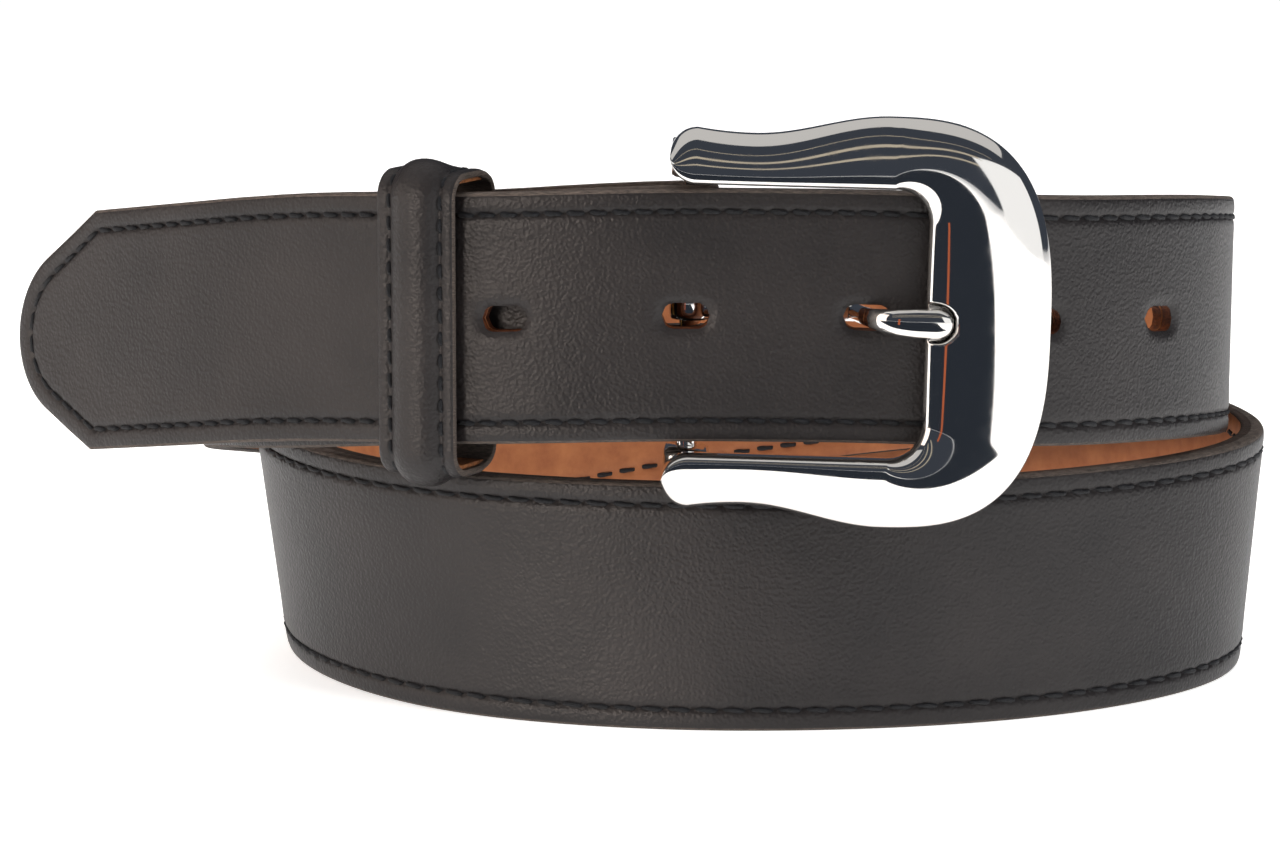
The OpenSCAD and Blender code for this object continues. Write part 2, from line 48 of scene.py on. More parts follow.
# ---------------------------------------------------------------- the strap's path
# All lengths in millimetres. s runs along the strap from the tip, w up its face from the
# middle, n out of its face from the middle of its thickness.
STRAP_W, OUTER_T, LINING_T = 35.0, 2.0, 1.6
HALF_W = STRAP_W / 2
HALF_T = (OUTER_T + LINING_T) / 2
TAIL, LOOP = 142.0, 850.0
PIN_REACH = 24.4
FRONT_S = TAIL - PIN_REACH
BAR_S = TAIL + LOOP
STACK = 4.2
BENDS = [[30, 0], [45, 15], [35, 30], [38, 0], [22, 40], [22, 15], [42, 36], [56, 48],
         [55, 42], [55, 46], [60, 58], [55, 49], [35, 24], [40, 28], [30, 25], [30, 38],
         [25, 22], [55, 42], [60, 43], [55, 41], [55, 46], [28, 33], [21.6, 13],
         [35, 31], [15, 0]]
RISES = [[0, 31], [60, 39.5], [110, 42], [150, 41.6], [200, 37.6], [234, 33.6], [345, 16.5],
         [450, 1.5], [500, 0], [690, 0], [730, 2.5], [790, 12.5], [845, 23.2], [900, 33],
         [950, 39.2], [985, 42], [1010, 42]]
LEANS = [[0, -3], [45, -3], [80, 0], [200, 0], [345, 4], [430, 8], [480, 7], [535, 0],
         [590, 0], [640, 5.5], [690, 5], [790, 4], [900, 4], [940, 0], [1000, 0]]
SHIFTS = [[0, 0, 0], [195, 0, 0], [240, 0.8, -1], [290, 0, -4], [345, 0, -4], [460, 0, -4],
          [570, 0, -2], [640, 1.8, -4], [700, 2, -3], [790, 0, -1], [845, 0, 0],
          [900, 1.5, 0], [925, 0.8, 1], [945, 0.6, 1.3], [972, 0, 0], [1000, 0, 0]]


def mean5(table, s, width, column=1):
    """Mean of five straight-line readings of the table: at s, and half a width and one
    width to each side of it."""
    t = np.asarray(table, float)
    return sum(np.interp(s + k * width / 2, t[:, 0], t[:, column]) for k in range(-2, 3)) / 5


def smooth01(t):
    t = np.clip(t, 0, 1)
    return t * t * (3 - 2 * t)


def strap_table():
    """Middle, up and out directions of the strap every half millimetre. The plan is the sum
    of one-millimetre steps at the heading, the mean of the bends; a smooth share of the
    closing error and the sideways shifts are added."""
    lengths, turns = np.array(BENDS, float).T
    knots = np.stack([np.concatenate([[0], np.cumsum(lengths)]),
                      -45 + np.concatenate([[0], np.cumsum(turns)])], 1)
    steps = np.arange(996)
    heading = np.radians(mean5(knots, steps + 0.5, 8))
    walk = np.concatenate([[[0, 0]], np.cumsum(
        np.stack([np.cos(heading), np.sin(heading)], 1), 0)])

    def walked(s):
        i = np.clip(np.floor(s).astype(int), 0, len(walk) - 2)
        f = (s - i)[:, None]
        return walk[i] * (1 - f) + walk[i + 1] * f

    front, bar = walked(np.array([FRONT_S, BAR_S]))
    closing = np.array([0, STACK]) - (bar - front)

    def plan(s):
        return (walked(s) - front + closing * smooth01((s - 200) / (BAR_S - 290))[:, None]
                + np.stack([mean5(SHIFTS, s, 20, 1), mean5(SHIFTS, s, 20, 2)], 1))

    s = np.arange(-2, 995.5, 0.5)
    flow = plan(s + 0.5) - plan(s - 0.5)
    flow /= np.linalg.norm(flow, axis=1)[:, None]
    lean = np.radians(mean5(LEANS, s, 12))[:, None]
    away = np.stack([flow[:, 1], -flow[:, 0], 0 * s], 1)
    z = np.array([[0, 0, 1.0]])
    up = away * np.sin(lean) + z * np.cos(lean)
    out = away * np.cos(lean) - z * np.sin(lean)
    height = (mean5(RISES, s, 12)[:, None] + HALF_W * np.cos(lean)
              + HALF_T * np.abs(np.sin(lean)))
    return s, np.concatenate([plan(s), height, up, out], 1)


TABLE_S, TABLE = strap_table()
BAR_LOW, BAR_HIGH = np.array(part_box("buckle_bar")) / MM
FOLD_IN = 2.1
FOLD_OUT = FOLD_IN + OUTER_T
BAR_Y = STACK - HALF_T + FOLD_OUT
BAR_MID = (BAR_LOW + BAR_HIGH) / 2
TABLE[:, 0] += BAR_MID[0]
TABLE[:, 1] += BAR_MID[1] - BAR_Y
FLAP_FACE = -(BAR_Y - STACK) - FOLD_OUT
FLAP_LEN = 66.0


def strap_frame(s):
    """Middle, up and out at each s, read from the table."""
    s = np.asarray(s, float)
    read = np.stack([np.interp(s, TABLE_S, TABLE[:, k]) for k in range(9)], -1)
    return read[..., 0:3], read[..., 3:6], read[..., 6:9]


def spot(s, w, n):
    """Middle of the strap at s, plus w along up, plus n along out."""
    s, w, n = np.broadcast_arrays(np.asarray(s, float), w, n)
    middle, up, out = strap_frame(s)
    return middle + up * w[..., None] + out * n[..., None]


# ---------------------------------------------------------------- meshes
def quads(rows, columns, first=0, wrap_rows=False, wrap_columns=False):
    """Corner numbers of the cells of a grid whose points are numbered row by row."""
    r = np.arange(rows if wrap_rows else rows - 1)[:, None]
    c = np.arange(columns if wrap_columns else columns - 1)[None, :]
    r2, c2 = (r + 1) % rows, (c + 1) % columns
    return first + np.stack([r * columns + c, r2 * columns + c, r2 * columns + c2,
                             r * columns + c2 + 0 * r], -1).astype(int)


class Skin:
    """Points and faces gathered from several patches of one piece."""

    def __init__(self):
        self.points, self.faces, self.finish, self.count = [], [], [], 0

    def add(self, points, faces, finish=0):
        points = np.asarray(points, float).reshape(-1, 3)
        faces = np.asarray(faces)
        self.points.append(points)
        finish = np.broadcast_to(finish, faces.shape[:-1]).ravel()
        faces = faces.reshape(-1, faces.shape[-1]) + self.count
        self.faces += faces.tolist()
        self.finish += finish.tolist()
        self.count += len(points)

    def grid(self, points, finish=0, wrap_rows=False, wrap_columns=False, keep=None):
        """A grid of points as quads; keep is a mask of the cells that stay."""
        cells = quads(*points.shape[:2], 0, wrap_rows, wrap_columns)
        finish = np.broadcast_to(finish, cells.shape[:2])
        if keep is not None:
            cells, finish = cells[keep], finish[keep]
        self.add(points, cells, finish)

    def cap(self, ring, finish=0):
        """One face across a closed ring of points."""
        self.add(ring, [list(range(len(ring)))], finish)

    def piece(self, name, finishes, body, slot, replaces=(), weld=0.004, smooth_angle=50):
        """The welded mesh as an object that rides on a body."""
        mesh = bpy.data.meshes.new(name)
        mesh.from_pydata((np.concatenate(self.points) * MM).tolist(), [], self.faces)
        mesh.polygons.foreach_set("material_index", np.array(self.finish, dtype=np.int32))
        for finish in finishes:
            mesh.materials.append(finish)
        work = bmesh.new()
        work.from_mesh(mesh)
        bmesh.ops.remove_doubles(work, verts=work.verts, dist=weld * MM)
        bmesh.ops.dissolve_degenerate(work, edges=work.edges, dist=1e-7)
        bmesh.ops.recalc_face_normals(work, faces=work.faces)
        work.to_mesh(mesh)
        work.free()
        mesh.polygons.foreach_set("use_smooth", np.ones(len(mesh.polygons), dtype=bool))
        mesh.set_sharp_from_angle(angle=math.radians(smooth_angle))
        piece = bpy.data.objects.new(name, mesh)
        bpy.context.scene.collection.objects.link(piece)
        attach(piece, body)
        if replaces:
            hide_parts(*replaces)
        return piece


# ---------------------------------------------------------------- materials
def linear(colour):
    """sRGB hex to linear RGBA."""
    value = np.array([int(colour[i:i + 2], 16) for i in (1, 3, 5)]) / 255
    value = np.where(value <= 0.04045, value / 12.92, ((value + 0.055) / 1.055) ** 2.4)
    return (*value.tolist(), 1.0)


def add(tree, kind, settings=(), links=()):
    """Adds a node; a setting names a socket or a property, a link names a socket."""
    node = tree.nodes.new(kind)
    for key, value in dict(settings).items():
        if isinstance(key, int) or key in node.inputs:
            node.inputs[key].default_value = value
        else:
            setattr(node, key, value)
    for key, source in dict(links).items():
        tree.links.new(source, node.inputs[key])
    return node


def surface(name, colour, **sockets):
    """A Principled material; returns it, its tree, its shader and its Object coordinates."""
    made = bpy.data.materials.new(name)
    made.use_nodes = True
    tree = made.node_tree
    shader = tree.nodes["Principled BSDF"]
    shader.inputs["Base Color"].default_value = linear(colour)
    for key, value in sockets.items():
        shader.inputs[key.replace("_", " ")].default_value = value
    place = add(tree, "ShaderNodeTexCoord").outputs["Object"]
    return made, tree, shader, place


def ramp(tree, source, low, high, at=(0.3, 0.7)):
    """Two hex colours spread over a value."""
    node = add(tree, "ShaderNodeValToRGB", links={"Fac": source})
    for element, position, colour in zip(node.color_ramp.elements, at, (low, high)):
        element.position = position
        element.color = linear(colour)
    return node.outputs["Color"]


def grain_leather():
    """Aniline-dyed, plated cowhide: a fine pebble of closed pores 0.5 mm apart, satin."""
    made, tree, shader, place = surface("grain_leather_black_plated", "#1b191a",
                                        Roughness=0.44, IOR=1.4)
    cloud = add(tree, "ShaderNodeTexNoise", {"Scale": 55.0, "Detail": 3.0}, {"Vector": place})
    tree.links.new(ramp(tree, cloud.outputs["Fac"], "#141213", "#1f1c1c"),
                   shader.inputs["Base Color"])
    wander = add(tree, "ShaderNodeTexNoise", {"Scale": 900.0, "Detail": 2.0}, {"Vector": place})
    bent = add(tree, "ShaderNodeMix", {"data_type": "VECTOR", "Factor": 0.0006},
               {4: place, 5: wander.outputs["Color"]})
    pebble = add(tree, "ShaderNodeTexVoronoi", {"feature": "SMOOTH_F1", "Scale": 1900.0,
                                                "Smoothness": 0.6},
                 {"Vector": bent.outputs[1]})
    crease = add(tree, "ShaderNodeTexNoise", {"Scale": 1000.0, "Detail": 3.0, "Roughness": 0.6},
                 {"Vector": place})
    height = add(tree, "ShaderNodeMix", {"Factor": 0.25},
                 {2: pebble.outputs["Distance"], 3: crease.outputs["Fac"]})
    bump = add(tree, "ShaderNodeBump", {"Strength": 0.6, "Distance": 0.00022},
               {"Height": height.outputs[0]})
    tree.links.new(bump.outputs["Normal"], shader.inputs["Normal"])
    gloss = add(tree, "ShaderNodeMapRange", {"To Min": 0.4, "To Max": 0.54},
                {"Value": crease.outputs["Fac"]})
    tree.links.new(gloss.outputs["Result"], shader.inputs["Roughness"])
    return made


def fibrous(name, low, high, scale, strength, roughness=0.85, stretch=(1, 1, 1), distance=0.0004):
    """Open leather fibres: streaks of the given size with a rough nap."""
    made, tree, shader, place = surface(name, low, Roughness=roughness)
    turned = add(tree, "ShaderNodeMapping", {"Scale": stretch}, {"Vector": place})
    fibre = add(tree, "ShaderNodeTexNoise", {"Scale": scale, "Detail": 5.0, "Roughness": 0.65},
                {"Vector": turned.outputs["Vector"]})
    tree.links.new(ramp(tree, fibre.outputs["Fac"], low, high), shader.inputs["Base Color"])
    bump = add(tree, "ShaderNodeBump", {"Strength": strength, "Distance": distance},
               {"Height": fibre.outputs["Fac"]})
    tree.links.new(bump.outputs["Normal"], shader.inputs["Normal"])
    return made


def metal(name, colour, roughness, wear=0.0):
    """Solid metal; wear spreads the roughness with faint rubbing marks."""
    made, tree, shader, place = surface(name, colour, Metallic=1.0, Roughness=roughness)
    if wear:
        rub = add(tree, "ShaderNodeTexNoise", {"Scale": 500.0, "Detail": 4.0}, {"Vector": place})
        spread = add(tree, "ShaderNodeMapRange", {"From Min": 0.35, "From Max": 0.75,
                                                  "To Min": roughness, "To Max": roughness + wear},
                     {"Value": rub.outputs["Fac"]})
        tree.links.new(spread.outputs["Result"], shader.inputs["Roughness"])
    return made


GRAIN = grain_leather()
# Sliced edge of dyed hide: grey-brown fibres in fine layers
CUT_EDGE = fibrous("cut_leather_edge", "#211d1b", "#574d46", 900.0, 0.8, stretch=(1, 1, 6))
# Punched wall of a hole: bare tanned fibre
HOLE_WALL = fibrous("punched_leather_wall", "#241109", "#683517", 1200.0, 0.7)
# Veg-tanned lining: smooth tan with faint mottling
LINING = fibrous("tan_lining_leather", "#8a5230", "#a66a40", 260.0, 0.35, 0.6)
# Suede: short loose nap
SUEDE = fibrous("brown_suede", "#58341e", "#94603a", 1500.0, 1.0, 0.95)
# Waxed polyester thread, two strands twisted
THREAD = fibrous("waxed_black_thread", "#08090b", "#17181c", 3000.0, 0.5, 0.75)
# Bright nickel plate on a die-cast frame: mirror polish with faint rubbing
NICKEL = metal("bright_nickel_plate", "#e6e4e1", 0.035, 0.05)
BRASS = metal("stamped_brass", "#c9a25e", 0.28, 0.1)
STEEL = metal("drawn_steel_wire", "#b9bcc0", 0.25, 0.1)
BLACKED = metal("black_lacquered_brass", "#16161a", 0.35, 0.1)
FELT = fibrous("pressed_wool_felt", "#cfc9bb", "#ece8dc", 900.0, 1.0, 1.0)

# ---------------------------------------------------------------- strap layers
NOSE_R, NOSE_LEN = 13.0, 17.0
ROW_IN = 3.0
SHOULDER = math.acos(NOSE_R / math.hypot(NOSE_LEN - NOSE_R, HALF_W)) - math.atan(
    (NOSE_LEN - NOSE_R) / HALF_W)
MITRE = math.tan(SHOULDER / 2)
FINE_END = 146.8
ROW_END = BAR_S - 20.0
FINE_N, COARSE_N, NOSE_ARC_N, NOSE_LINE_N = 42, 215, 6, 4
PER_STITCH = 4

STATIONS = np.concatenate([
    np.linspace(NOSE_LEN, FINE_END, FINE_N * PER_STITCH + 1),
    np.linspace(FINE_END, ROW_END, COARSE_N * PER_STITCH + 1)[1:]])
END_STATIONS = np.linspace(ROW_END, BAR_S, 21)[1:]


def mitred(s, w):
    """Stations near the tip lie on the mitre of its shoulders and straighten within 25 mm."""
    return s + MITRE * (HALF_W - np.abs(w)) * (1 - smooth01((s - NOSE_LEN) / 25))


def nose_plan(d):
    """Points [s, w] round the tip at distance d in from its edge, and how strongly each is a
    needle hole. Straight, arc, straight; past the arc's centre it shrinks to one point."""
    d = np.asarray(d, float)[None, :]
    near = np.minimum(d, NOSE_R - 1)
    corner = np.stack([NOSE_LEN + MITRE * near, HALF_W - near], -1)
    turn = math.pi / 2 - SHOULDER
    line = np.linspace(0, 1, NOSE_LINE_N * PER_STITCH + 1)[:, None, None]
    reach = NOSE_R - near
    touch = np.stack([NOSE_R - reach * math.cos(turn), reach * math.sin(turn)], -1)
    upper = corner * (1 - line) + touch * line
    arc = np.linspace(turn, -turn, NOSE_ARC_N * PER_STITCH + 1)[1:, None]
    bow = np.stack([NOSE_R - reach * np.cos(arc), reach * np.sin(arc)], -1)
    lower = upper[::-1][1:] * [1, -1]
    plan = np.concatenate([upper, bow, lower])
    pole = np.array([NOSE_LEN + MITRE * HALF_W, 0])
    f = ((d - near) / (HALF_W - NOSE_R + 1))[..., None]
    return plan * (1 - f) + pole * f


def needle(count):
    """One at each needle hole, nought between, for rows four to a stitch."""
    return (np.arange(count) % PER_STITCH == 0).astype(float)


# Half sections from the middle of the one face round the edge to the middle of the other:
# [distance in from the edge, depth under the grain, depth added at a needle hole, finish]
GRAIN_HALF = [[17.5, 0, 0, 0], [14.9, 0, 0, 0], [13.5, 0, 0, 0], [11.5, 0, 0, 0],
              [9.4, 0, 0, 0], [7.4, 0, 0, 0], [5.8, -.02, 0, 0], [4.8, -.04, 0, 0],
              [4.1, -.03, 0, 0], [3.7, .03, 0, 0], [3.45, .12, .06, 0], [3.22, .22, .25, 0],
              [3.0, .26, .42, 0], [2.78, .22, .25, 0], [2.55, .12, .06, 0],
              [2.3, .02, 0, 0], [1.9, -.03, 0, 0], [1.3, -.02, 0, 0], [.8, .03, 0, 0],
              [.4, .13, 0, 0], [.14, .32, 0, 1], [0, .62, 0, 1], [0, 1.1, 0, 1],
              [.04, 1.6, 0, 1], [0, 2, 0, 1], [5, 2, 0, 1], [11.5, 2, 0, 1],
              [13.5, 2, 0, 1], [14.9, 2, 0, 1], [17.5, 2, 0, 1]]
LINING_HALF = [[17.5, 2.02, 0, 0], [14.9, 2.02, 0, 0], [13.5, 2.02, 0, 0], [11.5, 2.02, 0, 0],
               [5, 2.02, 0, 0], [0, 2.02, 0, 1], [.03, 2.5, 0, 1], [0, 3.0, 0, 1],
               [.05, 3.35, 0, 1], [.25, 3.55, 0, 0], [.6, 3.6, 0, 0], [1.6, 3.6, 0, 0],
               [2.35, 3.57, 0, 0], [2.65, 3.47, .1, 0], [3.0, 3.4, .3, 0],
               [3.35, 3.47, .1, 0], [3.65, 3.57, 0, 0], [4.6, 3.6, 0, 0], [8, 3.6, 0, 0],
               [11.5, 3.6, 0, 0], [13.5, 3.6, 0, 0], [14.9, 3.6, 0, 0], [17.5, 3.6, 0, 0]]
HOLE_S = [TAIL + 25 * k for k in (-2, -1, 0, 1, 2)]
HOLE_HALF, HOLE_R = 3.3, 1.8
PATCH_COLUMNS = 3


def ring_of(half):
    """A half section and its mirror image as one closed ring of [w, depth, needle, finish]."""
    half = np.array(half, float)
    top = np.concatenate([HALF_W - half[:, :1], half[:, 1:]], 1)
    return np.concatenate([top, (top * [-1, 1, 1, 1])[-2:0:-1]])


def stadium(angle):
    """Where a ray at the angle leaves an oblong with round ends."""
    c, s = np.cos(angle), np.sin(angle)
    flat = HOLE_HALF - HOLE_R
    side = HOLE_R / np.maximum(np.abs(s), 1e-6)
    b = flat * np.abs(c)
    end = b + np.sqrt(np.maximum(HOLE_R ** 2 - (flat * s) ** 2, 0))
    t = np.where(side * np.abs(c) <= flat, side, end)
    return np.stack([t * c, t * s], -1)


def hole_patch(skin, loop, centre, face, back, wall_finish, face_finish, back_finish, worn):
    """Surface between a closed loop of grid points [s, w] and an oblong hole: ten rings that
    sink by a worn dimple which falls off as the square of the distance, then the wall."""
    angle = np.arctan2(loop[:, 1], loop[:, 0] - centre)
    rim = stadium(angle) + [centre, 0]
    f = (np.linspace(0, 1, 11) ** 0.8)[:, None, None]
    plan = loop * (1 - f) + rim * f
    gap = np.linalg.norm(plan - rim, axis=-1)
    tail = np.clip((centre - plan[..., 0]) / HOLE_HALF, 0, 1.6)
    dent = worn * (0.42 * np.exp(-(gap / 0.8) ** 2) + 0.2 * np.exp(-(gap / 0.25) ** 2)
                   + 0.5 * tail * np.exp(-(gap / 1.5) ** 2) * np.exp(-(plan[..., 1] / 1.6) ** 2))
    dent[0] = 0
    skin.grid(spot(plan[..., 0], plan[..., 1], HALF_T - face - dent), face_finish,
              wrap_columns=True)
    levels = np.linspace(0, 1, 4)[:, None]
    depth = (face + dent[-1]) * (1 - levels) + back * levels
    wide = 1 + 0.03 * np.sin(levels * math.pi)
    wall = (rim - [centre, 0]) * wide[..., None] + [centre, 0]
    skin.grid(spot(wall[..., 0], wall[..., 1], HALF_T - depth), wall_finish, wrap_columns=True)
    flat = np.stack([rim, loop])
    skin.grid(spot(flat[..., 0], flat[..., 1], HALF_T - back), back_finish, wrap_columns=True)


def strap_layer(half, rows_end, worn, wall_finish):
    """One leather layer of the strap: the tip, then stations to rows_end, with its holes.
    Returns the skin, the ring and the last row of points."""
    skin = Skin()
    ring = ring_of(half)
    count = len(ring)
    half_n = len(half)
    s = np.concatenate([STATIONS, END_STATIONS])
    s = s[s <= rows_end + 1e-6]
    prick = np.where(s <= ROW_END, needle(len(s)), 0)
    w = ring[:, 0][None, :]
    depth = ring[:, 1][None, :] + ring[:, 2][None, :] * prick[:, None]
    where = mitred(s[:, None], w)
    points = spot(where, w, HALF_T - depth)
    # the face left open at the holes: three columns each side of the middle, front and back
    keep = np.ones((len(s) - 1, count), bool)
    front = [*range(PATCH_COLUMNS), *range(count - PATCH_COLUMNS, count)]
    back = list(range(half_n - 1 - PATCH_COLUMNS, half_n - 1 + PATCH_COLUMNS))
    widths = ring[:PATCH_COLUMNS + 1, 0]
    for centre in HOLE_S:
        low, high = np.searchsorted(s, [centre - 6.2, centre + 6.2])
        keep[low:high, front] = False
        keep[low:high, back] = False
        across = np.concatenate([-widths[:0:-1], widths])
        run = s[low:high + 1]
        loop = np.concatenate([
            np.stack([run, 0 * run + widths[-1]], 1)[:-1],
            np.stack([run[-1] + 0 * across, across[::-1]], 1)[:-1],
            np.stack([run[::-1], 0 * run - widths[-1]], 1)[:-1],
            np.stack([run[0] + 0 * across, across], 1)[:-1]])
        hole_patch(skin, loop, centre, half[0][1], half[-1][1], wall_finish, 0,
                   int(half[-1][3]), worn)
    finish = np.maximum(ring[:, 3], np.roll(ring[:, 3], -1)).astype(int)[None, :]
    # the tip
    table = np.array(half, float)
    plan = nose_plan(table[:, 0])
    dots = needle(len(plan))[:, None]
    nose_depth = table[:, 1][None, :] + table[:, 2][None, :] * dots
    nose = spot(plan[..., 0], plan[..., 1], HALF_T - nose_depth)
    nose_finish = np.maximum(table[:-1, 3], table[1:, 3]).astype(int)[None, :]
    skin.grid(nose, nose_finish)
    return skin, ring, points, keep, np.broadcast_to(finish, (len(s) - 1, count)), s


SLOT_FROM = 12.0


def grain_layer():
    """The grain leather: strap, fold round the bar, and the flap that comes back behind."""
    skin, ring, points, keep, finish, s = strap_layer(GRAIN_HALF, BAR_S, 1.0, 2)
    w, depth = ring[:, 0], ring[:, 1]
    # fold: a turn of 180 degrees round the bar
    turn = np.radians(np.arange(9, 180, 9))[:, None]
    radius = FOLD_OUT - depth[None, :]
    fold = np.stack([BAR_MID[0] + radius * np.sin(turn), BAR_MID[1] - radius * np.cos(turn),
                     BAR_MID[2] + w[None, :] + 0 * turn], -1)
    back_d = np.arange(0, FLAP_LEN + 0.1, 1.5)[:, None]
    narrow = 1 - 0.6 * np.maximum(0, back_d - FLAP_LEN + 8) / HALF_W
    flap = spot(BAR_S - back_d + 0 * w, w[None, :] * narrow, FLAP_FACE + depth[None, :])
    rows = np.concatenate([points, fold, flap])
    extra = len(fold) + len(flap)
    keep = np.concatenate([keep, np.ones((extra, len(ring)), bool)])
    finish = np.concatenate([finish, np.broadcast_to(finish[:1], (extra, len(ring)))])
    # slot for the prong through the fold, with its walls
    first = int(np.searchsorted(s, BAR_S - SLOT_FROM))
    last = len(s) + len(fold) + int(SLOT_FROM / 1.5)
    half_n = len(GRAIN_HALF)
    keep[first:last, [0, len(ring) - 1, half_n - 2, half_n - 1]] = False
    skin.grid(rows, finish, wrap_columns=True, keep=keep)
    for front, back in ((1, half_n - 2), (len(ring) - 1, half_n)):
        skin.grid(rows[first:last + 1, [front, back]], 1)
    for row in (first, last):
        skin.grid(np.stack([rows[row, [len(ring) - 1, 0, 1]],
                            rows[row, [half_n, half_n - 1, half_n - 2]]]), 1)
    skin.cap(rows[-1], 1)
    return skin.piece("strap_grain_leather", [GRAIN, CUT_EDGE, HOLE_WALL], "strap",
                      "strap_leather", ["strap_outer"])


def lining_layer():
    """The lining leather, from the tip to just before the fold."""
    skin, ring, points, keep, finish, _ = strap_layer(LINING_HALF, BAR_S - 14, 0.3, 2)
    skin.grid(points, finish, wrap_columns=True, keep=keep)
    skin.cap(points[-1], 1)
    return skin.piece("strap_lining_leather", [LINING, CUT_EDGE_TAN, HOLE_WALL], "strap",
                      "lining_leather", ["strap_lining"])


CUT_EDGE_TAN = fibrous("cut_lining_edge", "#17120f", "#3b2e27", 900.0, 0.8, stretch=(1, 1, 6))
grain_layer()
lining_layer()


# ---------------------------------------------------------------- stitches
def stitches(ends, normal, radius, lift, twist=1.5, rings=8, sides=8):
    """One thread stitch for each pair of needle holes: a tube between them that rises out of
    the one hole and goes down into the next, its section swelling twice round for the two
    strands and turning along its length."""
    a, b = ends
    t = np.linspace(0, 1, rings)[None, :, None, None]
    phi = np.linspace(0, 2 * math.pi, sides, endpoint=False)[None, None, :, None]
    a, b, normal = a[:, None, None, :], b[:, None, None, :], normal[:, None, None, :]
    run = (b - a) / np.linalg.norm(b - a, axis=-1, keepdims=True)
    across = np.cross(run, normal)
    slope = 1 - np.abs(2 * t - 1) ** 4
    thick = radius * (0.45 + 0.55 * np.sqrt(np.maximum(slope, 0))) * (
        1 + 0.16 * np.cos(2 * phi - 2 * math.pi * twist * t))
    centre = a * (1 - t) + b * t + normal * (lift * slope - 0.5 * (1 - slope))
    return centre + across * thick * np.cos(phi) + normal * thick * 0.8 * np.sin(phi)


def row_ends():
    """[s, w] of every needle hole from the far end of the upper edge, round the tip, to the
    far end of the lower edge, in order."""
    holes = STATIONS[::PER_STITCH]
    w = HALF_W - ROW_IN
    edge = np.stack([mitred(holes, w), 0 * holes + w], 1)
    nose = nose_plan([ROW_IN])[::PER_STITCH, 0]
    return np.concatenate([edge[::-1], nose[1:-1], edge * [1, -1]])


def add_stitches(skin, points):
    n, rings, sides = points.shape[:3]
    for_one = quads(rings, sides, wrap_columns=True).reshape(-1, 4)
    cells = for_one[None] + (np.arange(n) * rings * sides)[:, None, None]
    skin.add(points, cells)
    for row in (0, rings - 1):
        caps = (np.arange(n) * rings * sides + row * sides)[:, None] + np.arange(sides)[None, :]
        skin.add(np.zeros((0, 3)), caps - skin.count + (skin.count - n * rings * sides))


def strap_stitches(name, side, node):
    """The row of stitches on one face; side is +1 for the grain, -1 for the lining."""
    plan = row_ends()
    middle = (plan[1:] + plan[:-1]) / 2
    _, _, out = strap_frame(middle[:, 0])
    slant = 0.13 * side
    step = plan[1:] - plan[:-1]
    length = np.linalg.norm(step, axis=1, keepdims=True)
    across = np.stack([-step[:, 1], step[:, 0]], 1) / length * slant
    a = plan[:-1] + step * 0.05 + across
    b = plan[1:] - step * 0.05 - across
    level = HALF_T - 0.26 if side > 0 else -HALF_T + 0.2
    ends = [spot(p[:, 0], p[:, 1], level) for p in (a, b)]
    skin = Skin()
    add_stitches(skin, stitches(ends, out * side, 0.34, 0.17))
    return skin.piece(name, [THREAD], "strap", "thread", [node], weld=0.0001)


strap_stitches("strap_grain_stitches", 1, "strap_stitching")
strap_stitches("strap_lining_stitches", -1, "lining_stitching")

# ---------------------------------------------------------------- buckle
WINDOW_H, WINDOW_L, WINDOW_R, BOW_W = 37.4, 32.4, 4.8, 17.2
FRAME_T, RIM_T, ARM_START, LOP_ARM = 4.6, 1.4, 0.4, 0.4
FRAME_BACK = -(HALF_T + 0.6)
BOW_X = WINDOW_L + BOW_W
BOW_HALF = WINDOW_H / 2 + 9.8
ARM_HALF = WINDOW_H / 2 + 7
WAIST_X, CREST_X, BOW_POWER = 8.0, 27.0, 2.8
PRONG_LEN, PRONG_T, BLADE_W = 35.9, 2.2, 4.3
BLADE_Y = FRAME_BACK - FRAME_T + PRONG_T / 2 + 0.1
TILT = math.radians(1.7)
PRONG_UP = PIN_REACH * math.sin(TILT) + strap_frame(TAIL)[0][2] - BAR_MID[2]


def hang(x, y, z):
    """Places buckle points, measured from the bar's middle and the front strap, turned
    clockwise by the small angle at which the buckle hangs."""
    x, y, z = np.broadcast_arrays(x, y, z)
    return np.stack([BAR_MID[0] + x * math.cos(TILT) + z * math.sin(TILT),
                     BAR_MID[1] - BAR_Y + y,
                     BAR_MID[2] + z * math.cos(TILT) - x * math.sin(TILT)], -1)


def outer_top(x):
    """Upper outline of an arm: a shallow waist, swelling by a cosine to the crest."""
    swell = ARM_HALF + (BOW_HALF - ARM_HALF) * (
        1 - np.cos(math.pi * (x - WAIST_X) / (CREST_X - WAIST_X))) / 2
    end = ARM_HALF + 0.6 * ((WAIST_X - x) / (WAIST_X - ARM_START)) ** 2
    return np.where(x < WAIST_X, end, swell)


